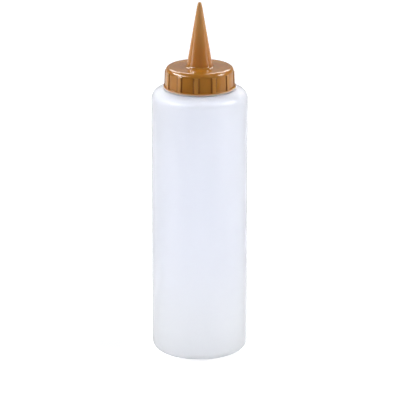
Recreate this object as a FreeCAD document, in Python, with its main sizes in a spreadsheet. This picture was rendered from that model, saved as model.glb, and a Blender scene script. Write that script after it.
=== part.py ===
"""Glue applicator bottle: a squeeze bottle, a screw cap moulded in one with its cone nozzle, and a liner.

Millimetres, +Z up. The origin is the centre of the foot ring that the bottle stands on, and +Z is the axis
that every piece is turned about. The neck has a right-hand thread, so the cap rises as it is turned
anticlockwise.
"""

import FreeCAD
import Part
import operator
import os
import types
import Sketcher

DIMENSIONS = [
    # alias, value, what it is
    ("body_diameter", 55.0, "outside of the straight wall"),
    ("body_wall", 0.9, "wall of the squeeze bottle"),
    ("heel_radius", 4.6, "rounding between wall and foot"),
    ("foot_width", 2.4, "flat ring that the bottle stands on"),
    ("recess_depth", 2.0, "base panel above the foot ring"),
    ("recess_slope", 2.4, "radial width of the rise to the base panel"),
    ("recess_rounding", 1.2, "rounding of the rise to the base panel"),
    ("shoulder_height", 154.4, "where the wall and the shoulder cone would meet"),
    ("shoulder_radius", 5.4, "rounding between wall and shoulder cone"),
    ("land_height", 156.7, "flat land round the neck"),
    ("land_diameter", 42.8, "where the shoulder cone meets the land"),
    ("neck_diameter", 34.2, "neck outside, at the root of the thread"),
    ("neck_bore", 30.6, "mouth of the bottle"),
    ("neck_height", 10.3, "rim above the land"),
    ("rim_rounding", 0.4, "rounding of the rim"),
    ("thread_pitch", 4.233, "six threads per inch"),
    ("thread_bite", 0.3, "how far a thread's root is sunk in its wall"),
    ("thread_shift", 0.45, "how far the cap's thread sits above the middle of the neck's groove"),
    ("neck_thread_diameter", 36.5, "over the crests of the neck thread"),
    ("neck_thread_root", 2.3, "height of the neck thread at its root"),
    ("neck_thread_crest", 0.9, "height of the neck thread at its crest"),
    ("neck_thread_turns", 1.25, "turns of the neck thread"),
    ("neck_thread_drop", 2.5, "from the rim to the middle of the thread's upper end"),
    ("cap_thread_diameter", 35.0, "inside the crests of the cap thread"),
    ("cap_thread_root", 2.1, "height of the cap thread at its root"),
    ("cap_thread_crest", 0.8, "height of the cap thread at its crest"),
    ("cap_thread_turns", 1.2, "turns of the cap thread"),
    ("cap_thread_angle", 90.0, "from the neck thread's lower end round to the cap thread's lower end"),
    ("cap_clearance", 0.6, "cap's lower edge above the land"),
    ("cap_height", 12.1, "lower edge to flat top"),
    ("cap_top_thickness", 1.4, "flat top"),
    ("cap_bore", 37.1, "inside of the skirt"),
    ("cap_inside_rounding", 1.0, "rounding inside, between skirt and flat top"),
    ("skirt_foot_diameter", 39.4, "outside of the skirt just above the flange"),
    ("skirt_top_diameter", 38.9, "outside of the skirt where it would meet the flat top"),
    ("cap_corner_radius", 2.45, "rounding between skirt and flat top"),
    ("flange_diameter", 41.5, "rim at the skirt's lower edge"),
    ("flange_height", 1.1, "height of that rim"),
    ("edge_rounding", 0.25, "small roundings of the cap"),
    ("rib_count", 12, "grip ribs round the skirt"),
    ("rib_width", 2.8, "width of a rib"),
    ("rib_chamfer", 0.3, "chamfer of a rib's long edges"),
    ("rib_foot_circle", 40.4, "over the faces of two opposite ribs, at the flange"),
    ("rib_top_circle", 39.7, "the same at the ribs' upper ends"),
    ("rib_height", 9.8, "length of a rib, from the cap's lower edge"),
    ("rib_phase", 24.4, "angle of the first rib from +X"),
    ("nozzle_base_diameter", 15.0, "cone where it meets the flat top"),
    ("nozzle_fillet", 1.4, "rounding at the foot of the cone"),
    ("nozzle_length", 37.3, "flat top to tip"),
    ("nozzle_nose_length", 2.6, "steeper end of the cone"),
    ("nozzle_nose_diameter", 3.1, "where that steeper end starts"),
    ("nozzle_tip_diameter", 1.7, "cone at the tip"),
    ("nozzle_wall", 1.3, "wall at the foot of the cone"),
    ("tip_rounding", 0.3, "rounding of the tip"),
    ("orifice_diameter", 0.8, "outlet"),
    ("orifice_length", 3.0, "straight part of the outlet"),
    ("liner_outer_diameter", 35.4, "sealing liner, held above the cap's thread"),
    ("liner_inner_diameter", 28.0, "hole in the liner"),
    ("liner_thickness", 0.9, "foamed liner"),
    ("liner_gap", 0.05, "free space above and below the liner"),
]

OVERRUN = 1.0
TOLERANCE = 0.01


class Size:
    """A number worked out from the sheet's cells, kept with the expression that gives it."""

    def __init__(self, number, expression=None):
        self.number = number
        self.expression = expression or str(number)

    def joined(self, other, sign, work):
        other = as_size(other)
        return Size(work(self.number, other.number), f"({self.expression} {sign} {other.expression})")

    def __add__(self, other):
        return self.joined(other, "+", operator.add)

    def __sub__(self, other):
        return self.joined(other, "-", operator.sub)

    def __mul__(self, other):
        return self.joined(other, "*", operator.mul)

    def __truediv__(self, other):
        return self.joined(other, "/", operator.truediv)

    def __neg__(self):
        return Size(-self.number, f"(-{self.expression})")


def as_size(thing):
    return thing if isinstance(thing, Size) else Size(thing)


def fill_sheet():
    """Write the dimensions to the sheet and give them back as sizes."""
    sizes = {}
    for row, (alias, number, meaning) in enumerate(DIMENSIONS, start=1):
        sheet.set(f"A{row}", alias)
        sheet.set(f"B{row}", str(number))
        sheet.set(f"C{row}", meaning)
        sheet.setAlias(f"B{row}", alias)
        sizes[alias] = Size(number, f"{sheet.Name}.{alias}")
    doc.recompute()
    return types.SimpleNamespace(**sizes)


def new_body(label):
    body = doc.addObject("PartDesign::Body", label)
    body.Label = label
    return body


def origin_feature(body, role):
    return next(feature for feature in body.Origin.OriginFeatures if feature.Role == role)


def new_sketch(body, name, plane, height=0, angle=0, axis=(0, 0, 1)):
    """An empty sketch on one of the body's planes, raised by height and turned by angle about axis."""
    height, angle = as_size(height), as_size(angle)
    sketch = body.newObject("Sketcher::SketchObject", name)
    sketch.AttachmentSupport = [(origin_feature(body, plane), "")]
    sketch.MapMode = "FlatFace"
    sketch.AttachmentOffset = FreeCAD.Placement(
        FreeCAD.Vector(0, 0, height.number), FreeCAD.Rotation(FreeCAD.Vector(*axis), angle.number)
    )
    sketch.setExpression("AttachmentOffset.Base.z", height.expression)
    if angle.number:
        sketch.setExpression("AttachmentOffset.Rotation.Angle", angle.expression)
    return sketch


def draw_outline(sketch, corners):
    """A closed outline of straight lines through corners, with every corner bound to the sheet."""
    corners = [(as_size(x), as_size(y)) for x, y in corners]
    points = [FreeCAD.Vector(x.number, y.number, 0) for x, y in corners]
    ends = zip(points, points[1:] + points[:1])
    lines = [sketch.addGeometry(Part.LineSegment(start, end), False) for start, end in ends]
    for line, following in zip(lines, lines[1:] + lines[:1]):
        sketch.addConstraint(Sketcher.Constraint("Coincident", line, 2, following, 1))
    for line, (x, y) in zip(lines, corners):
        for kind, size in (("DistanceX", x), ("DistanceY", y)):
            constraint = sketch.addConstraint(Sketcher.Constraint(kind, -1, 1, line, 1, size.number))
            sketch.setExpression(f"Constraints[{constraint}]", size.expression)
    return sketch


def finish(feature):
    """Hide the feature's sketch and work the feature out."""
    feature.Profile[0].Visibility = False
    doc.recompute()


def turn(body, name, corners, kind="PartDesign::Revolution"):
    """A full revolution, or a groove, of an outline of (radius, height) corners about the body's axis."""
    sketch = draw_outline(new_sketch(body, name + "_outline", "XZ_Plane"), corners)
    turned = body.newObject(kind, name)
    turned.Profile = sketch
    turned.ReferenceAxis = (sketch, ["V_Axis"])
    turned.Angle = 360.0
    finish(turned)


def circle_edges(shape, circles):
    """Names of the shape's full circles about the axis, each circle wanted as its (diameter, height)."""
    names = []
    for number, edge in enumerate(shape.Edges, start=1):
        if not isinstance(edge.Curve, Part.Circle):
            continue
        for diameter, height in circles:
            across = abs(2 * edge.Curve.Radius - diameter.number)
            along = abs(edge.Curve.Center.z - as_size(height).number)
            if max(across, along) < TOLERANCE:
                names.append(f"Edge{number}")
    if len(names) != len(circles):
        raise RuntimeError(f"{len(names)} of {len(circles)} circles found")
    return names


def round_edges(body, name, circles, radius):
    """Round the body's latest solid along full circles, each given as its (diameter, height)."""
    base = body.Tip
    fillet = body.newObject("PartDesign::Fillet", name)
    fillet.Base = (base, circle_edges(base.Shape, circles))
    fillet.Radius = radius.number
    fillet.setExpression("Radius", radius.expression)
    doc.recompute()


def add_thread(body, name, corners, turns, angle=0):
    """A right-hand thread that climbs from an outline of (radius, height) corners, turned by angle."""
    sketch = new_sketch(body, name + "_outline", "XZ_Plane", angle=angle, axis=(0, 1, 0))
    thread = body.newObject("PartDesign::AdditiveHelix", name)
    thread.Profile = draw_outline(sketch, corners)
    thread.ReferenceAxis = (sketch, ["V_Axis"])
    thread.Mode = "pitch-turns-angle"
    thread.LeftHanded = False
    thread.Reversed = False
    thread.Angle = 0.0
    thread.setExpression("Pitch", d.thread_pitch.expression)
    thread.setExpression("Turns", turns.expression)
    finish(thread)


def make_bottle():
    """Blow-moulded bottle: foot ring, base panel, straight wall, shoulder, land and threaded neck."""
    body = new_body("squeeze_bottle")
    wall = d.body_diameter / 2
    foot_inner = wall - d.heel_radius - d.foot_width
    panel = foot_inner - d.recess_slope
    turn(
        body,
        "outside",
        [
            (0, d.recess_depth),
            (panel, d.recess_depth),
            (foot_inner, 0),
            (wall, 0),
            (wall, d.shoulder_height),
            (d.land_diameter / 2, d.land_height),
            (d.neck_diameter / 2, d.land_height),
            (d.neck_diameter / 2, rim),
            (0, rim),
        ],
    )
    round_edges(body, "panel_rounding", [(panel * 2, d.recess_depth)], d.recess_rounding)

    inside = wall - d.body_wall
    inside_shoulder = d.shoulder_height - d.body_wall
    ceiling = d.land_height - d.body_wall
    floor = d.recess_depth + d.body_wall
    turn(
        body,
        "cavity",
        [
            (0, floor),
            (panel + d.body_wall / 2, floor),
            (foot_inner + d.body_wall / 2, d.body_wall),
            (inside, d.body_wall),
            (inside, inside_shoulder),
            (d.land_diameter / 2, ceiling),
            (d.neck_bore / 2, ceiling),
            (d.neck_bore / 2, rim + OVERRUN),
            (0, rim + OVERRUN),
        ],
        "PartDesign::Groove",
    )
    round_edges(body, "heel_inside", [(inside * 2, d.body_wall)], d.heel_radius - d.body_wall)
    round_edges(body, "shoulder_inside", [(inside * 2, inside_shoulder)], d.shoulder_radius - d.body_wall)
    round_edges(body, "heel", [(d.body_diameter, 0)], d.heel_radius)
    round_edges(body, "shoulder", [(d.body_diameter, d.shoulder_height)], d.shoulder_radius)
    round_edges(body, "rim", [(d.neck_diameter, rim), (d.neck_bore, rim)], d.rim_rounding)

    root = d.neck_diameter / 2 - d.thread_bite
    crest = d.neck_thread_diameter / 2
    add_thread(
        body,
        "neck_thread",
        [
            (root, neck_thread_start - d.neck_thread_root / 2),
            (crest, neck_thread_start - d.neck_thread_crest / 2),
            (crest, neck_thread_start + d.neck_thread_crest / 2),
            (root, neck_thread_start + d.neck_thread_root / 2),
        ],
        d.neck_thread_turns,
    )
    return body


def add_grip_ribs(body):
    """Chamfered ribs that rise from the cap's lower edge, lean in and end in a shelf under the corner."""
    root = d.cap_bore / 2 + d.thread_bite
    face = d.rib_foot_circle / 2
    side = d.rib_width / 2
    outline = draw_outline(
        new_sketch(body, "rib_outline", "XY_Plane", height=cap_foot, angle=d.rib_phase),
        [
            (root, -side),
            (face - d.rib_chamfer, -side),
            (face, d.rib_chamfer - side),
            (face, side - d.rib_chamfer),
            (face - d.rib_chamfer, side),
            (root, side),
        ],
    )
    rib = body.newObject("PartDesign::Pad", "rib")
    rib.Profile = outline
    rib.setExpression("Length", d.rib_height.expression)
    finish(rib)
    ribs = body.newObject("PartDesign::PolarPattern", "ribs")
    ribs.Originals = [rib]
    ribs.Axis = (origin_feature(body, "Z_Axis"), [""])
    ribs.Angle = 360.0
    ribs.setExpression("Occurrences", d.rib_count.expression)
    body.Tip = ribs
    doc.recompute()
    outer = d.flange_diameter / 2 + OVERRUN
    flange_top = cap_foot + d.flange_height
    rib_top = cap_foot + d.rib_height
    turn(
        body,
        "rib_taper",
        [
            (face, flange_top),
            (outer, flange_top),
            (outer, rib_top + OVERRUN),
            (d.rib_top_circle / 2, rib_top + OVERRUN),
            (d.rib_top_circle / 2, rib_top),
        ],
        "PartDesign::Groove",
    )


def make_cap():
    """Injection-moulded cap and nozzle in one piece: flanged skirt, grip ribs, flat top and hollow cone."""
    body = new_body("nozzle_cap")
    flange_top = cap_foot + d.flange_height
    turn(
        body,
        "outside_of_cap",
        [
            (0, cap_foot),
            (d.flange_diameter / 2, cap_foot),
            (d.flange_diameter / 2, flange_top),
            (d.skirt_foot_diameter / 2, flange_top),
            (d.skirt_top_diameter / 2, cap_top),
            (d.nozzle_base_diameter / 2, cap_top),
            (d.nozzle_nose_diameter / 2, tip - d.nozzle_nose_length),
            (d.nozzle_tip_diameter / 2, tip),
            (0, tip),
        ],
    )
    round_edges(body, "cap_corner", [(d.skirt_top_diameter, cap_top)], d.cap_corner_radius)
    round_edges(body, "nozzle_foot", [(d.nozzle_base_diameter, cap_top)], d.nozzle_fillet)
    round_edges(body, "nozzle_tip", [(d.nozzle_tip_diameter, tip)], d.tip_rounding)
    flange_edges = [(d.flange_diameter, cap_foot), (d.flange_diameter, flange_top)]
    round_edges(body, "flange_rounding", flange_edges, d.edge_rounding)
    add_grip_ribs(body)
    turn(
        body,
        "cap_cavity",
        [
            (0, cap_foot - OVERRUN),
            (d.cap_bore / 2, cap_foot - OVERRUN),
            (d.cap_bore / 2, cap_ceiling),
            (d.nozzle_base_diameter / 2 - d.nozzle_wall, cap_ceiling),
            (d.orifice_diameter / 2, tip - d.orifice_length),
            (d.orifice_diameter / 2, tip + OVERRUN),
            (0, tip + OVERRUN),
        ],
        "PartDesign::Groove",
    )
    round_edges(body, "cap_inside", [(d.cap_bore, cap_ceiling)], d.cap_inside_rounding)
    root = d.cap_bore / 2 + d.thread_bite
    crest = d.cap_thread_diameter / 2
    add_thread(
        body,
        "cap_thread",
        [
            (root, cap_thread_start - d.cap_thread_root / 2),
            (root, cap_thread_start + d.cap_thread_root / 2),
            (crest, cap_thread_start + d.cap_thread_crest / 2),
            (crest, cap_thread_start - d.cap_thread_crest / 2),
        ],
        d.cap_thread_turns,
        angle=d.cap_thread_angle,
    )
    return body


def make_liner():
    """Foamed washer that seals the rim. It lies loose in the cap, above the cap's thread."""
    body = new_body("sealing_liner")
    lower = rim + d.liner_gap
    upper = lower + d.liner_thickness
    inner = d.liner_inner_diameter / 2
    outer = d.liner_outer_diameter / 2
    turn(body, "washer", [(inner, lower), (outer, lower), (outer, upper), (inner, upper)])
    return body


def check_document():
    for thing in doc.Objects:
        if "Invalid" in thing.State or "Error" in thing.State:
            raise RuntimeError(f"{thing.Name} failed: {thing.State}")


def export(bodies):
    """Write each body to its own file, once it is known to be one valid solid."""
    os.makedirs("parts", exist_ok=True)
    for body in bodies:
        shape = body.Shape
        if shape.isNull() or not shape.isValid() or len(shape.Solids) != 1:
            raise RuntimeError(f"{body.Label} isn't one valid solid")
        shape.exportStep(os.path.join("parts", body.Label + ".step"))
        box = shape.BoundBox
        print(f"{body.Label}: {shape.Volume / 1000:.2f} cm3, z {box.ZMin:.2f} to {box.ZMax:.2f}")


doc = FreeCAD.newDocument("glue_applicator_bottle")
sheet = doc.addObject("Spreadsheet::Sheet", "dimensions")
d = fill_sheet()

rim = d.land_height + d.neck_height
cap_foot = d.land_height + d.cap_clearance
cap_top = cap_foot + d.cap_height
cap_ceiling = cap_top - d.cap_top_thickness
tip = cap_top + d.nozzle_length
neck_thread_start = rim - d.neck_thread_drop - d.neck_thread_turns * d.thread_pitch
cap_thread_lead = (d.cap_thread_angle / 360 - 0.5) * d.thread_pitch
cap_thread_start = neck_thread_start + cap_thread_lead + d.thread_shift

solids = [make_bottle(), make_cap(), make_liner()]
check_document()
export(solids)
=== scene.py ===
"""Glue applicator bottle: a milky squeeze bottle and an ochre screw cap that ends in a long cone nozzle.

Lengths in the outlines are millimetres, as in the CAD source, and the studio's are metres. Every piece is
turned about +Z. The threads are one right-hand helix each, so they stay in mesh while the cap is unscrewed.
"""

import math

import bmesh
import bpy
import numpy as np
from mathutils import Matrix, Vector


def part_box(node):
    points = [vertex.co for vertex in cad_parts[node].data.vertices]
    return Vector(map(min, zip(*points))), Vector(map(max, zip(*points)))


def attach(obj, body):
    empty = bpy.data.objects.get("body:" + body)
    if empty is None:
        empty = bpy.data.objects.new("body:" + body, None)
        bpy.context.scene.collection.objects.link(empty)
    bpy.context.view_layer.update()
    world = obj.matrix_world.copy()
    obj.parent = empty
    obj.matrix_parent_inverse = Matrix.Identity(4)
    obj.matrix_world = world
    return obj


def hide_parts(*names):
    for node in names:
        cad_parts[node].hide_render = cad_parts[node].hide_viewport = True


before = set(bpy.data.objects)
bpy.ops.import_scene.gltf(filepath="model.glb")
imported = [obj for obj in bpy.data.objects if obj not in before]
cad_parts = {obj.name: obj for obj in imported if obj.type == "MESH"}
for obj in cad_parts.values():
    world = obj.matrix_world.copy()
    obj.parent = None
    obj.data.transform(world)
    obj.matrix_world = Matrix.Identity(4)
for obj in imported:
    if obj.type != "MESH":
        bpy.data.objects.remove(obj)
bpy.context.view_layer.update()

MM = 0.001
# Lengths in millimetres that differ by less count as the same
CLOSE = 0.01


def size_of(node):
    """(outer radius, lowest height, highest height) of a CAD node, in millimetres."""
    low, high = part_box(node)
    return high.x / MM, low.z / MM, high.z / MM


BODY_R, FOOT_Z, RIM_Z = size_of("squeeze_bottle")
FLANGE_R, CAP_FOOT_Z, TIP_Z = size_of("nozzle_cap")
LINER_R, LINER_FOOT_Z, LINER_TOP_Z = size_of("sealing_liner")

# Bottle
WALL = 0.9
HEEL_ROUNDING = 4.6
FOOT_WIDTH = 2.4
FOOT_ROUNDING = 0.4
PANEL_RISE = 2.0
PANEL_SLOPE = 2.4
PANEL_ROUNDING = 1.2
SHOULDER_ROUNDING = 5.4
NECK_HEIGHT = 10.3
LAND_Z = RIM_Z - NECK_HEIGHT
LAND_R = 21.4
LAND_RISE = 2.3
LAND_ROUNDING = 0.5
SHOULDER_Z = LAND_Z - LAND_RISE
NECK_R = 17.1
BORE_R = 15.3
RIM_ROUNDING = 0.4
INSIDE_ROUNDING = 0.8
PARTING_HEIGHT = 0.06
PARTING_HALF_WIDTH = 0.22
PARTING_FADE = 3.0
PINCH_HEIGHT = 0.35
PINCH_HALF_WIDTH = 0.45
PINCH_REACH = 13.0
PINCH_FADE = 1.5
NEAR_FOOT_HEIGHT = 70.0

# Threads
PITCH = 4.233
NECK_THREAD_TURNS = 1.25
NECK_THREAD_INSET = 2.5
NECK_THREAD_Z = RIM_Z - NECK_THREAD_INSET - NECK_THREAD_TURNS * PITCH
NECK_THREAD_ANGLE = 0.0
NECK_THREAD_DEPTH = 1.15
NECK_THREAD_ROOT = 2.3
NECK_THREAD_CREST = 0.9
CAP_THREAD_TURNS = 1.2
CAP_THREAD_ANGLE = 90.0
CAP_THREAD_SHIFT = 0.45
CAP_THREAD_Z = NECK_THREAD_Z + (CAP_THREAD_ANGLE / 360 - 0.5) * PITCH + CAP_THREAD_SHIFT
CAP_THREAD_DEPTH = 1.05
CAP_THREAD_ROOT = 2.1
CAP_THREAD_CREST = 0.8
THREAD_FADE = 25.0

# Cap
CAP_HEIGHT = 12.1
CAP_TOP_Z = CAP_FOOT_Z + CAP_HEIGHT
CAP_TOP_WALL = 1.4
CEILING_Z = CAP_TOP_Z - CAP_TOP_WALL
CAP_BORE_R = 18.55
CAP_INSIDE_ROUNDING = 1.0
SKIRT_FOOT_R = 19.7
SKIRT_TOP_R = 19.45
CORNER_ROUNDING = 2.45
FLANGE_HEIGHT = 1.1
EDGE_ROUNDING = 0.25
RIB_COUNT = 12
RIB_SPACING = 360 / RIB_COUNT
RIB_PHASE = 24.4
RIB_FOOT_FACE_R = 20.2
RIB_TOP_FACE_R = 19.85
RIB_HALF_WIDTH = 1.4
RIB_EDGE = 0.4
RIB_ROOT = 0.2
RIB_SHADE_WIDTH = 0.8
RIB_HEIGHT = 9.8
RIB_TOP_Z = CAP_FOOT_Z + RIB_HEIGHT
RIB_TOP_EDGE = 0.25
RIB_TOP_CLEARANCE = 0.03
CONE_FOOT_R = 7.5
CONE_FOOT_ROUNDING = 1.4
CONE_WALL = 1.3
CONE_INSIDE_ROUNDING = 0.4
CONE_SHADE_HEIGHT = 3.0
NOSE_R = 1.55
NOSE_LENGTH = 2.6
NOSE_ROUNDING = 3.0
TIP_R = 0.85
TIP_ROUNDING = 0.3
OUTLET_R = 0.4
OUTLET_LENGTH = 3.0
OUTLET_ROUNDING = 0.5
OUTLET_CHAMFER = 0.1

# Liner
LINER_INNER_R = 14.0
LINER_ROUNDING = 0.2
LINER_SEAM = 0.1

# Mesh: the longest stretch between two points of an outline, in millimetres on a run and degrees on an arc
STEP = 0.8
BODY_STEP = 2.5
NECK_THREAD_STEP = 0.2
RIM_STEP = 0.4
INSIDE_STEP = 1.2
INSIDE_BODY_STEP = 4.0
CONE_STEP = 1.5
INSIDE_CONE_STEP = 3.0
FLANGE_STEP = 0.25
FLANGE_FOOT_STEP = 0.5
CAP_THREAD_STEP = 0.25
LINER_STEP = 0.5
ARC_STEP = 9.0
FEWEST_ARC_STEPS = 2

# Mesh: columns and rows, by degrees or by number, and the crispest edge that is still shaded smooth
BOTTLE_COLUMN_STEP = 2.0
PARTING_COLUMN_STEP = 0.25
PARTING_COLUMN_REACH = 3.0
RIB_FACE_COLUMNS = 3
RIB_ARC_COLUMNS = 4
RIB_TOP_ROWS = 5
GAP_COLUMNS = 13
LINER_COLUMN_STEP = 2.5
SMOOTH_ANGLE = 40.0

# Colours of the cap's plastic, and the painted light and shade laid where the cap's mesh is marked: painted
# highlight, painted shade, painted reflection and painted light
OCHRE_DARK = (0.475, 0.192, 0.018)
OCHRE_LIGHT = (0.545, 0.222, 0.026)
CAP_TINTS = {
    # Painted highlight: the rib faces painted lighter for the light they catch from above
    "rib_face_painted_highlight": (0.61, 0.27, 0.05),
    # Painted shade: darker where the ribs meet the skirt, standing in for the shade in those corners
    "rib_root_painted_shade": (0.29, 0.108, 0.009),
    # Painted reflection: the flange's edge painted pale for the white shoulder it reflects
    "flange_edge_painted_reflection": (0.92, 0.76, 0.60),
    # Painted light: the cone painted lighter and redder for the overhead light and the bounce from the
    # cap's top that it catches
    "cone": (0.60, 0.235, 0.040),
    # Painted light: the cone's tip painted pale for light shining through the thin plastic
    "cone_tip_painted_light": (0.66, 0.38, 0.16),
}

# Camera: aim in millimetres to the right of the axis and above the floor, distance in metres
CAMERA_ELEVATION = 17.49
CAMERA_DISTANCE = 1.6
CAMERA_AIM = (0.2, 89.47)
CAMERA_LENS = 249.0
CAMERA_SENSOR = 36.0

# World: the ring lights the scene. It runs from the camera's side (0) over the left and right (0.5) to the
# back (1). It grows softer overhead, from OVERHEAD_START to OVERHEAD_END (0 is level and 1 is straight up).
# Rays of the kinds in EVEN_GLOWS see an even glow instead, and for a ray of two kinds the later one counts.
WORLD_RING = ((0.0, 0.06), (0.24, 0.07), (0.34, 1.0), (0.60, 1.0), (0.72, 0.12), (1.0, 0.05))
WORLD_STRENGTH = 2.9
WORLD_OVERHEAD = 0.45
OVERHEAD_START = 0.3
OVERHEAD_END = 0.6
EVEN_GLOWS = {"Is Glossy Ray": 0.3, "Is Camera Ray": 1.0, "Is Transmission Ray": 2.35}

# Floor, in metres
FLOOR_HALF_WIDTH = 3.0
FLOOR_NEAR = -0.25
FLOOR_FAR = 5.0
FLOOR_GLOW = 0.4


# ---------------------------------------------------------------- outlines

def rounded_path(corners):
    """Points (radius, height) along straight runs with rounded corners, as an array.

    Each corner is (radius, height, rounding, step), where step is the longest stretch between two points on
    the run that leaves it. The first and last are ends: neither is rounded, and no run leaves the last.
    """
    spots = [Vector(corner[:2]) for corner in corners]
    arcs = [[spots[0]]]
    for before, here, after, corner in zip(spots, spots[1:], spots[2:], corners[1:]):
        arcs.append(corner_arc(before, here, after, corner[2]))
    arcs.append([spots[-1]])
    path = []
    for arc, following, corner in zip(arcs, arcs[1:], corners):
        run = following[0] - arc[-1]
        pieces = max(1, math.ceil(run.length / corner[3]))
        path += arc
        path += [arc[-1] + run * n / pieces for n in range(1, pieces)]
    return np.array([tuple(point) for point in path + arcs[-1]])


def corner_arc(before, here, after, rounding):
    """Points of the arc that rounds the corner here between two neighbouring corners."""
    if rounding == 0:
        return [here]
    into, out = (here - before).normalized(), (after - here).normalized()
    # Anticlockwise, which angle_signed counts as negative
    turn = -into.angle_signed(out)
    start = here - into * rounding * math.tan(abs(turn) / 2)
    centre = start + Vector((-into.y, into.x)) * math.copysign(rounding, turn)
    steps = max(FEWEST_ARC_STEPS, math.ceil(math.degrees(abs(turn)) / ARC_STEP))
    spoke = start - centre
    points = []
    for n in range(steps + 1):
        cos, sin = math.cos(turn * n / steps), math.sin(turn * n / steps)
        points.append(centre + Vector((spoke.x * cos - spoke.y * sin, spoke.x * sin + spoke.y * cos)))
    return points


def smooth_step(share):
    """0 below a share of 0, 1 above 1, and an even curve between."""
    share = np.clip(share, 0, 1)
    return share * share * (3 - 2 * share)


def between(values, low, high):
    """Where values lie from low to high, both included."""
    return (values > low - CLOSE) & (values < high + CLOSE)


def thread_height(heights, angles, start_z, start_angle, turns, root, crest):
    """How much of a thread's depth stands at each height and angle: 1 on its crest and 0 beside it.

    root and crest are the thread's widths where it leaves the wall and where it is highest.
    """
    found = np.zeros(np.broadcast(heights, angles).shape)
    for lap in range(math.ceil(turns) + 1):
        along = np.mod(angles - start_angle, 360) + 360 * lap
        away = np.abs(heights - start_z - PITCH * along / 360)
        flank = smooth_step((root / 2 - away) / (root / 2 - crest / 2))
        ends = smooth_step(along / THREAD_FADE) * smooth_step((360 * turns - along) / THREAD_FADE)
        found = np.maximum(found, flank * ends)
    return found


# ---------------------------------------------------------------- meshes

def around(radii, heights, angles):
    """Points on circles about the axis, as an array of rows by columns by 3."""
    turn = np.radians(angles)
    return np.stack(np.broadcast_arrays(radii * np.cos(turn), radii * np.sin(turn), heights), axis=2)


def skin(name, points, closed_rows, marks=None):
    """A mesh over a grid of points, rows by columns, whose columns go once round the axis.

    Rows are joined end to end when closed_rows is true. Otherwise the first and last row lie on the axis,
    and each becomes one point. marks gives named values from 0 to 1 at the points, for materials to read.
    """
    rows, columns = points.shape[:2]
    index = np.arange(rows * columns).reshape(rows, columns)
    if closed_rows:
        index = np.vstack([index, index[:1]])
    else:
        index[0, :] = index[0, 0]
        index[-1, :] = index[-1, 0]
    index = np.hstack([index, index[:, :1]])
    faces = []
    for lower, upper in zip(index, index[1:]):
        for corner in zip(lower, lower[1:], upper[1:], upper):
            faces.append(list(dict.fromkeys(int(n) for n in corner)))
    mesh = bpy.data.meshes.new(name)
    mesh.from_pydata((points.reshape(-1, 3) * MM).tolist(), [], faces)
    for mark, values in (marks or {}).items():
        stored = mesh.attributes.new(mark, "FLOAT", "POINT")
        stored.data.foreach_set("value", np.broadcast_to(values, (rows, columns)).ravel())
    piece = bpy.data.objects.new(name, mesh)
    bpy.context.scene.collection.objects.link(piece)
    clean_mesh(mesh)
    return piece


def clean_mesh(mesh):
    """Drop unused points, face everything outwards and shade it smooth, with crisp edges kept."""
    work = bmesh.new()
    work.from_mesh(mesh)
    loose = [vertex for vertex in work.verts if not vertex.link_faces]
    bmesh.ops.delete(work, geom=loose, context="VERTS")
    bmesh.ops.recalc_face_normals(work, faces=work.faces)
    work.to_mesh(mesh)
    work.free()
    mesh.polygons.foreach_set("use_smooth", [True] * len(mesh.polygons))
    mesh.set_sharp_from_angle(angle=math.radians(SMOOTH_ANGLE))


def bottle_columns():
    """Even angles, with close ones along the parting line at 0 and 180 degrees."""
    angles = np.arange(0, 360, PARTING_COLUMN_STEP)
    from_parting = 90 - np.abs(np.mod(angles, 180) - 90)
    return angles[(from_parting <= PARTING_COLUMN_REACH) | (np.mod(angles, BOTTLE_COLUMN_STEP) == 0)]


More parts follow.
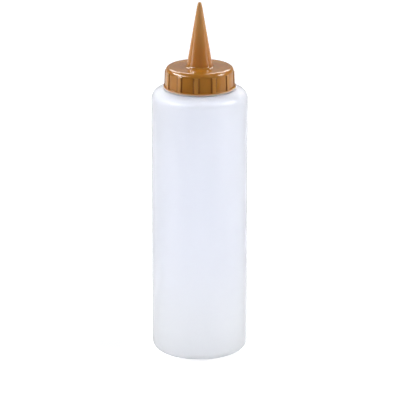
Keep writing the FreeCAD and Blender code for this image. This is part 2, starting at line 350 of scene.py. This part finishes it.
def make_bottle():
    """The squeeze bottle: outside from the base panel's middle up to the rim, then down the inside."""
    foot_inner = BODY_R - HEEL_ROUNDING - FOOT_WIDTH
    panel_r = foot_inner - PANEL_SLOPE
    inside_r = BODY_R - WALL
    floor_z = PANEL_RISE + WALL
    outside = rounded_path([
        (0, PANEL_RISE, 0, STEP),
        (panel_r, PANEL_RISE, PANEL_ROUNDING, STEP),
        (foot_inner, FOOT_Z, FOOT_ROUNDING, STEP),
        (BODY_R, FOOT_Z, HEEL_ROUNDING, BODY_STEP),
        (BODY_R, SHOULDER_Z, SHOULDER_ROUNDING, STEP),
        (LAND_R, LAND_Z, LAND_ROUNDING, STEP),
        (NECK_R, LAND_Z, LAND_ROUNDING, NECK_THREAD_STEP),
        (NECK_R, RIM_Z, RIM_ROUNDING, RIM_STEP),
        (BORE_R, RIM_Z),
    ])
    inside = rounded_path([
        (BORE_R, RIM_Z - RIM_STEP, 0, INSIDE_STEP),
        (BORE_R, LAND_Z - WALL, INSIDE_ROUNDING, INSIDE_STEP),
        (LAND_R, LAND_Z - WALL, INSIDE_ROUNDING, INSIDE_STEP),
        (inside_r, SHOULDER_Z - WALL, SHOULDER_ROUNDING - WALL, INSIDE_BODY_STEP),
        (inside_r, WALL, HEEL_ROUNDING - WALL, INSIDE_STEP),
        (foot_inner + WALL / 2, WALL, FOOT_ROUNDING, INSIDE_STEP),
        (panel_r + WALL / 2, floor_z, INSIDE_ROUNDING, INSIDE_STEP),
        (0, floor_z),
    ])
    path = np.vstack([outside, inside])
    radii, heights = path[:, :1], path[:, 1:]
    angles = bottle_columns()
    is_outside = (np.arange(len(path)) < len(outside))[:, None]

    thread = thread_height(
        heights, angles, NECK_THREAD_Z, NECK_THREAD_ANGLE,
        NECK_THREAD_TURNS, NECK_THREAD_ROOT, NECK_THREAD_CREST,
    )
    from_parting = np.abs(radii * np.sin(np.radians(angles)))
    ridge = smooth_step(1 - from_parting / PARTING_HALF_WIDTH)
    ridge = ridge * smooth_step((heights - FOOT_Z) / PARTING_FADE)
    on_body = is_outside & between(heights, FOOT_Z, LAND_Z) & (radii > panel_r)
    # The neck is the only outside at the thread's heights
    radii = radii + is_outside * thread * NECK_THREAD_DEPTH + on_body * ridge * PARTING_HEIGHT

    points = around(radii, heights, angles)
    x, y = np.abs(points[:, :, 0]), np.abs(points[:, :, 1])
    bead = smooth_step(1 - y / PINCH_HALF_WIDTH) * smooth_step((PINCH_REACH - x) / PINCH_FADE)
    # The base panel is the only outside within the pinch-off bead's reach
    points[:, :, 2] -= is_outside * bead * PINCH_HEIGHT
    marks = {"near_foot": smooth_step(1 - heights / NEAR_FOOT_HEIGHT)}
    return skin("bottle_shell", points, closed_rows=False, marks=marks)


def rib_section():
    """Angles from a rib's middle out to the skirt, and the rib's rise above the skirt at each."""
    flat = RIB_HALF_WIDTH - RIB_EDGE
    foot_across = RIB_HALF_WIDTH + RIB_ROOT
    foot_out = math.sqrt(SKIRT_FOOT_R**2 - foot_across**2)
    bend = np.radians(np.linspace(0, 90, RIB_ARC_COLUMNS + 1))
    across = np.concatenate([
        np.linspace(0, flat, RIB_FACE_COLUMNS, endpoint=False),
        flat + RIB_EDGE * np.sin(bend),
        foot_across - RIB_ROOT * np.cos(bend),
    ])
    out = np.concatenate([
        np.full(RIB_FACE_COLUMNS, RIB_FOOT_FACE_R),
        RIB_FOOT_FACE_R - RIB_EDGE * (1 - np.cos(bend)),
        foot_out + RIB_ROOT * (1 - np.sin(bend)),
    ])
    return np.degrees(np.arctan2(across, out)), np.hypot(across, out) - SKIRT_FOOT_R


def cap_columns():
    """Each column's angle, a rib's rise above the skirt there, and the way to the nearest rib's middle.

    Angles are in degrees and the rest in millimetres. Between two ribs the columns crowd towards the ribs.
    """
    half, half_rises = rib_section()
    edge = half[-1]
    share = 0.5 - 0.5 * np.cos(np.pi * np.arange(1, GAP_COLUMNS + 1) / (GAP_COLUMNS + 1))
    angles = np.concatenate([-half[:0:-1], half, edge + (RIB_SPACING - 2 * edge) * share])
    rises = np.concatenate([half_rises[:0:-1], half_rises, np.zeros(GAP_COLUMNS)])
    turn = np.minimum(np.abs(angles), RIB_SPACING - np.abs(angles))
    from_middle = np.radians(turn) * SKIRT_FOOT_R
    middles = RIB_PHASE + RIB_SPACING * np.arange(RIB_COUNT)
    all_angles = np.add.outer(middles, angles).ravel()
    return all_angles, np.tile(rises, RIB_COUNT), np.tile(from_middle, RIB_COUNT)


def make_cap():
    """Cap and nozzle in one: down the outside from the tip, round the foot, then up the inside."""
    flange_top = CAP_FOOT_Z + FLANGE_HEIGHT
    bend = np.radians(np.linspace(0, 90, RIB_TOP_ROWS + 1))
    rib_top_rows = [RIB_TOP_Z + RIB_TOP_CLEARANCE, *(RIB_TOP_Z - RIB_TOP_EDGE * (1 - np.cos(bend)))]
    path = rounded_path([
        (OUTLET_R + OUTLET_CHAMFER, TIP_Z, 0, STEP),
        (TIP_R, TIP_Z, TIP_ROUNDING, STEP),
        (NOSE_R, TIP_Z - NOSE_LENGTH, NOSE_ROUNDING, CONE_STEP),
        (CONE_FOOT_R, CAP_TOP_Z, CONE_FOOT_ROUNDING, CONE_STEP),
        (SKIRT_TOP_R, CAP_TOP_Z, CORNER_ROUNDING, STEP),
        *[(SKIRT_TOP_R, height, 0, STEP) for height in rib_top_rows],
        (SKIRT_FOOT_R, flange_top, 0, FLANGE_STEP),
        (FLANGE_R, flange_top, EDGE_ROUNDING, FLANGE_STEP),
        (FLANGE_R, CAP_FOOT_Z, EDGE_ROUNDING, FLANGE_FOOT_STEP),
        (CAP_BORE_R, CAP_FOOT_Z, EDGE_ROUNDING, CAP_THREAD_STEP),
        (CAP_BORE_R, CEILING_Z, CAP_INSIDE_ROUNDING, CONE_STEP),
        (CONE_FOOT_R - CONE_WALL, CEILING_Z, CONE_INSIDE_ROUNDING, INSIDE_CONE_STEP),
        (OUTLET_R, TIP_Z - OUTLET_LENGTH, OUTLET_ROUNDING, STEP),
        (OUTLET_R, TIP_Z - OUTLET_CHAMFER),
    ])
    radii, heights = path[:, :1], path[:, 1:]
    angles, rises, from_middle = cap_columns()

    ribbed = between(radii, SKIRT_TOP_R, SKIRT_FOOT_R) & between(heights, flange_top, RIB_TOP_Z)
    below_top = np.clip((RIB_TOP_Z - heights) / RIB_TOP_EDGE, 0, 1)
    set_back = RIB_TOP_EDGE * (1 - np.sqrt(1 - (1 - below_top) ** 2))
    face_r = np.interp(heights, [flange_top, RIB_TOP_Z], [RIB_FOOT_FACE_R, RIB_TOP_FACE_R])
    ribs = ribbed * (face_r - radii - set_back) * rises / rises.max()
    thread = thread_height(
        heights, angles, CAP_THREAD_Z, CAP_THREAD_ANGLE,
        CAP_THREAD_TURNS, CAP_THREAD_ROOT, CAP_THREAD_CREST,
    )
    in_bore = between(radii, CAP_BORE_R, CAP_BORE_R)
    points = around(radii + ribs - in_bore * thread * CAP_THREAD_DEPTH, heights, angles)

    from_root = np.abs(from_middle - RIB_HALF_WIDTH - RIB_ROOT / 2)
    outside_bore = radii > CAP_BORE_R + CLOSE
    marks = {
        # Painted highlight on the rib faces
        "rib_face_painted_highlight": ribbed * smooth_step((RIB_HALF_WIDTH - from_middle) / RIB_EDGE),
        # Painted shade at the ribs' roots
        "rib_root_painted_shade": ribbed * smooth_step(1 - from_root / RIB_SHADE_WIDTH),
        # Painted reflection on the flange's edge
        "flange_edge_painted_reflection": outside_bore * smooth_step((flange_top - heights) / FLANGE_HEIGHT),
        # Painted light on the cone, growing from the cap's top
        "cone": smooth_step((heights - CAP_TOP_Z) / CONE_SHADE_HEIGHT),
        # Painted light towards the cone's tip
        "cone_tip_painted_light": np.clip((heights - CAP_TOP_Z) / (TIP_Z - CAP_TOP_Z), 0, 1) ** 2,
    }
    return skin("ribbed_nozzle_cap", points, closed_rows=True, marks=marks)


def make_liner():
    """A foamed washer with softened edges, from the middle of its inner side once round its section."""
    middle = (LINER_FOOT_Z + LINER_TOP_Z) / 2
    path = rounded_path([
        (LINER_INNER_R, middle, 0, LINER_STEP),
        (LINER_INNER_R, LINER_TOP_Z, LINER_ROUNDING, LINER_STEP),
        (LINER_R, LINER_TOP_Z, LINER_ROUNDING, LINER_STEP),
        (LINER_R, LINER_FOOT_Z, LINER_ROUNDING, LINER_STEP),
        (LINER_INNER_R, LINER_FOOT_Z, LINER_ROUNDING, LINER_STEP),
        (LINER_INNER_R, middle - LINER_SEAM),
    ])
    angles = np.arange(0, 360, LINER_COLUMN_STEP)
    return skin("foam_liner", around(path[:, :1], path[:, 1:], angles), closed_rows=True)


# ---------------------------------------------------------------- materials

def new_material(name, settings):
    """A material with a Principled shader, whose own sockets hold the settings."""
    material = bpy.data.materials.new(name)
    material.use_nodes = True
    shader = material.node_tree.nodes["Principled BSDF"]
    for socket, value in settings.items():
        shader.inputs[socket].default_value = value
    return material


def feed(tree, outputs):
    """Join outputs to the Principled shader's sockets, given by name."""
    shader = tree.nodes["Principled BSDF"]
    for socket, output in outputs.items():
        tree.links.new(output, shader.inputs[socket])


def noise(tree, scale, detail, stretch=(1, 1, 1)):
    """A noise value over the piece's own coordinates. scale counts features per metre."""
    place = tree.nodes.new("ShaderNodeTexCoord")
    mapping = tree.nodes.new("ShaderNodeMapping")
    mapping.inputs["Scale"].default_value = stretch
    texture = tree.nodes.new("ShaderNodeTexNoise")
    texture.inputs["Scale"].default_value = scale
    texture.inputs["Detail"].default_value = detail
    tree.links.new(place.outputs["Object"], mapping.inputs["Vector"])
    tree.links.new(mapping.outputs["Vector"], texture.inputs["Vector"])
    return texture.outputs["Fac"]


def blend(tree, factor, low, high, start=0.3, end=0.7):
    """A colour that goes from low to high while the factor goes from start to end."""
    node = tree.nodes.new("ShaderNodeValToRGB")
    node.color_ramp.elements[0].position = start
    node.color_ramp.elements[1].position = end
    node.color_ramp.elements[0].color = (*low, 1)
    node.color_ramp.elements[1].color = (*high, 1)
    tree.links.new(factor, node.inputs["Fac"])
    return node.outputs["Color"]


def spread(tree, factor, low, high, start=0.3, end=0.7):
    """A number that goes from low to high while the factor goes from start to end."""
    node = tree.nodes.new("ShaderNodeMapRange")
    node.inputs["From Min"].default_value = start
    node.inputs["From Max"].default_value = end
    node.inputs["To Min"].default_value = low
    node.inputs["To Max"].default_value = high
    tree.links.new(factor, node.inputs["Value"])
    return node.outputs["Result"]


def paint(tree, mark, colour, painted):
    """colour with the painted colour laid over it as strongly as the mesh's mark says."""
    strength = tree.nodes.new("ShaderNodeAttribute")
    strength.attribute_name = mark
    node = tree.nodes.new("ShaderNodeMix")
    node.data_type = "RGBA"
    node.inputs["B"].default_value = (*painted, 1)
    tree.links.new(strength.outputs["Fac"], node.inputs["Factor"])
    tree.links.new(colour, node.inputs["A"])
    return node.outputs["Result"]


def bump(tree, height, depth):
    """A normal bent by height, whose full range stands for depth in metres."""
    node = tree.nodes.new("ShaderNodeBump")
    node.inputs["Strength"].default_value = 1.0
    node.inputs["Distance"].default_value = depth
    tree.links.new(height, node.inputs["Height"])
    return node.outputs["Normal"]


def bottle_material():
    """Milky low-density polyethylene: faintly blue, greyer near the foot, streaky from blow moulding."""
    material = new_material("milky_polyethylene", {
        "IOR": 1.45,
        "Specular IOR Level": 0.0,
        "Transmission Weight": 0.72,
        "Subsurface Weight": 0.4,
        "Subsurface Radius": (1.0, 1.0, 1.0),
        "Subsurface Scale": 0.003,
        "Coat Weight": 0.6,
        "Coat Roughness": 0.08,
    })
    tree = material.node_tree
    streaks = noise(tree, scale=60, detail=2.0, stretch=(1, 1, 0.05))
    colour = blend(tree, streaks, low=(0.885, 0.90, 0.95), high=(0.905, 0.92, 0.97), start=0.2, end=0.8)
    ripple = bump(tree, noise(tree, scale=40, detail=1.0, stretch=(1, 1, 0.3)), depth=0.0001)
    feed(tree, {
        "Base Color": paint(tree, "near_foot", colour, (0.908, 0.918, 0.94)),
        "Roughness": spread(tree, streaks, low=0.57, high=0.63, start=0.2, end=0.8),
        "Normal": ripple,
        "Coat Normal": ripple,
    })
    return material


def cap_material():
    """Glossy ochre polypropylene, redder on the cone.

    It is painted lighter on the rib faces (a painted highlight), paler on the flange's edge (a painted
    reflection of the white shoulder below), paler at the cone's tip (painted light shining through the thin
    plastic) and darker at the ribs' roots (painted shade). Its lighter, redder cone is painted light for
    the overhead and bounced light the cone catches.
    """
    material = new_material("ochre_polypropylene", {
        "IOR": 1.5,
        "Specular IOR Level": 0.35,
        "Subsurface Weight": 0.4,
        "Subsurface Radius": (1.0, 0.5, 0.25),
        "Subsurface Scale": 0.0015,
    })
    tree = material.node_tree
    flow = noise(tree, scale=120, detail=3.0, stretch=(1, 1, 0.5))
    colour = blend(tree, flow, low=OCHRE_DARK, high=OCHRE_LIGHT)
    # Lay the painted highlight, painted shade, painted reflection and painted light over the plastic's own
    # colour
    for mark, painted in CAP_TINTS.items():
        colour = paint(tree, mark, colour, painted)
    grain = noise(tree, scale=300, detail=3.0)
    feed(tree, {
        "Base Color": colour,
        "Roughness": spread(tree, grain, low=0.12, high=0.16),
        "Normal": bump(tree, grain, depth=0.00001),
    })
    return material


def liner_material():
    """White foamed polyethylene with fine cells."""
    material = new_material("foamed_polyethylene", {"IOR": 1.5})
    tree = material.node_tree
    cells = noise(tree, scale=3000, detail=4.0)
    feed(tree, {
        "Base Color": blend(tree, cells, low=(0.78, 0.78, 0.75), high=(0.88, 0.88, 0.86)),
        "Roughness": spread(tree, cells, low=0.6, high=0.8),
        "Normal": bump(tree, cells, depth=0.0001),
    })
    return material


# ---------------------------------------------------------------- studio

def make_floor():
    """A wide white floor that glows a little, as a white sweep lit from all sides does."""
    near = [(-FLOOR_HALF_WIDTH, FLOOR_NEAR, 0), (FLOOR_HALF_WIDTH, FLOOR_NEAR, 0)]
    far = [(FLOOR_HALF_WIDTH, FLOOR_FAR, 0), (-FLOOR_HALF_WIDTH, FLOOR_FAR, 0)]
    mesh = bpy.data.meshes.new("floor")
    mesh.from_pydata(near + far, [], [(0, 1, 2, 3)])
    mesh.materials.append(new_material("white_sweep", {
        "Base Color": (0.9, 0.9, 0.9, 1),
        "Roughness": 0.9,
        "Specular IOR Level": 0.0,
        "Emission Color": (1, 1, 1, 1),
        "Emission Strength": FLOOR_GLOW,
    }))
    floor = bpy.data.objects.new("floor", mesh)
    bpy.context.scene.collection.objects.link(floor)


def softbox(name, piece, azimuth, elevation, distance, size, radiance):
    """A flat lamp that aims at the cap's foot and shows in one piece's gloss only, as a flagged lamp does.

    Azimuth 0 is the camera's side and 90 is to the right. size is (width, height).
    """
    light = bpy.data.lights.new(name, "AREA")
    light.shape = "RECTANGLE"
    light.size, light.size_y = size
    light.energy = radiance * math.pi * light.size * light.size_y
    lamp = bpy.data.objects.new(name, light)
    bpy.context.scene.collection.objects.link(lamp)
    lamp.visible_diffuse = False
    lamp.visible_transmission = False
    lit = bpy.data.collections.new(name)
    lit.objects.link(piece)
    lamp.light_linking.receiver_collection = lit
    turn, rise = math.radians(azimuth), math.radians(elevation)
    away = Vector((math.sin(turn) * math.cos(rise), -math.cos(turn) * math.cos(rise), math.sin(rise)))
    lamp.location = Vector((0, 0, CAP_FOOT_Z * MM)) + away * distance
    lamp.rotation_euler = away.to_track_quat("Z", "Y").to_euler()


def make_world():
    """White to the camera, and an even glow to reflections and to light that comes through the bottle.

    As light it is dim on the camera's side and at the back, bright at both sides, and softer overhead.
    """
    world = bpy.data.worlds.new("surroundings")
    bpy.context.scene.world = world
    world.use_nodes = True
    tree = world.node_tree
    place = tree.nodes.new("ShaderNodeTexCoord")
    split = tree.nodes.new("ShaderNodeSeparateXYZ")
    tree.links.new(place.outputs["Generated"], split.inputs["Vector"])
    ring = tree.nodes.new("ShaderNodeValToRGB")
    stops = ring.color_ramp.elements
    while len(stops) < len(WORLD_RING):
        stops.new(1.0)
    for stop, (position, shade) in zip(stops, WORLD_RING):
        stop.position = position
        stop.color = (shade, shade, shade, 1)
    depth = spread(tree, split.outputs["Y"], low=0.0, high=1.0, start=-1.0, end=1.0)
    tree.links.new(depth, ring.inputs["Fac"])
    light = tree.nodes["Background"]
    tree.links.new(ring.outputs["Color"], light.inputs["Color"])
    overhead = spread(
        tree, split.outputs["Z"], low=WORLD_STRENGTH, high=WORLD_STRENGTH * WORLD_OVERHEAD,
        start=OVERHEAD_START, end=OVERHEAD_END,
    )
    tree.links.new(overhead, light.inputs["Strength"])
    path = tree.nodes.new("ShaderNodeLightPath")
    seen = light.outputs["Background"]
    for rays, glow in EVEN_GLOWS.items():
        even = tree.nodes.new("ShaderNodeBackground")
        even.inputs["Color"].default_value = (1, 1, 1, 1)
        even.inputs["Strength"].default_value = glow
        either = tree.nodes.new("ShaderNodeMixShader")
        tree.links.new(path.outputs[rays], either.inputs["Fac"])
        tree.links.new(seen, either.inputs[1])
        tree.links.new(even.outputs["Background"], either.inputs[2])
        seen = either.outputs["Shader"]
    tree.links.new(seen, tree.nodes["World Output"].inputs["Surface"])


def make_camera():
    """A view from a little above the bottle, through a long lens."""
    camera = bpy.data.cameras.new("camera")
    camera.sensor_width = CAMERA_SENSOR
    camera.lens = CAMERA_LENS
    holder = bpy.data.objects.new("camera", camera)
    bpy.context.scene.collection.objects.link(holder)
    target = Vector((CAMERA_AIM[0], 0, CAMERA_AIM[1])) * MM
    elevation = math.radians(CAMERA_ELEVATION)
    back = Vector((0, -math.cos(elevation), math.sin(elevation)))
    holder.location = target + back * CAMERA_DISTANCE
    holder.rotation_euler = back.to_track_quat("Z", "Y").to_euler()
    bpy.context.scene.camera = holder


def dress(piece, node, body, material):
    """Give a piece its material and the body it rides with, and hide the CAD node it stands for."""
    piece.data.materials.append(material)
    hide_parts(node)
    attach(piece, body)
    return piece


bottle = dress(make_bottle(), "squeeze_bottle", "bottle", bottle_material())
cap = dress(make_cap(), "nozzle_cap", "cap", cap_material())
dress(make_liner(), "sealing_liner", "liner", liner_material())

make_floor()
make_world()

# Name, piece lit, azimuth, elevation, distance, (width, height), radiance
lamps = (
    ("left_strip", cap, -81, 32, 0.8, (0.80, 0.24), 28.0),
    ("right_strip", cap, 86, 32, 0.8, (0.26, 0.24), 27.0),
    ("right_spot", cap, 42, 42, 0.8, (0.14, 0.12), 22.0),
    ("left_cone", cap, -78, -3, 0.8, (0.35, 0.17), 5.0),
    ("right_cone", cap, 78, -3, 0.8, (0.35, 0.17), 3.0),
    ("left_shoulder", bottle, -81, 32, 0.8, (0.80, 0.24), 12.0),
    ("right_shoulder", bottle, 86, 32, 0.8, (0.50, 0.24), 14.0),
    ("back_top", cap, 180, 38, 1.0, (1.2, 0.35), 8.0),
    ("back_low", cap, 180, 17, 1.0, (2.2, 0.2), 0.3),
    ("back_shoulder", bottle, 180, 25, 1.0, (2.4, 0.6), 2.0),
)
for lamp in lamps:
    softbox(*lamp)

make_camera()
bpy.context.scene.view_settings.view_transform = "Standard"
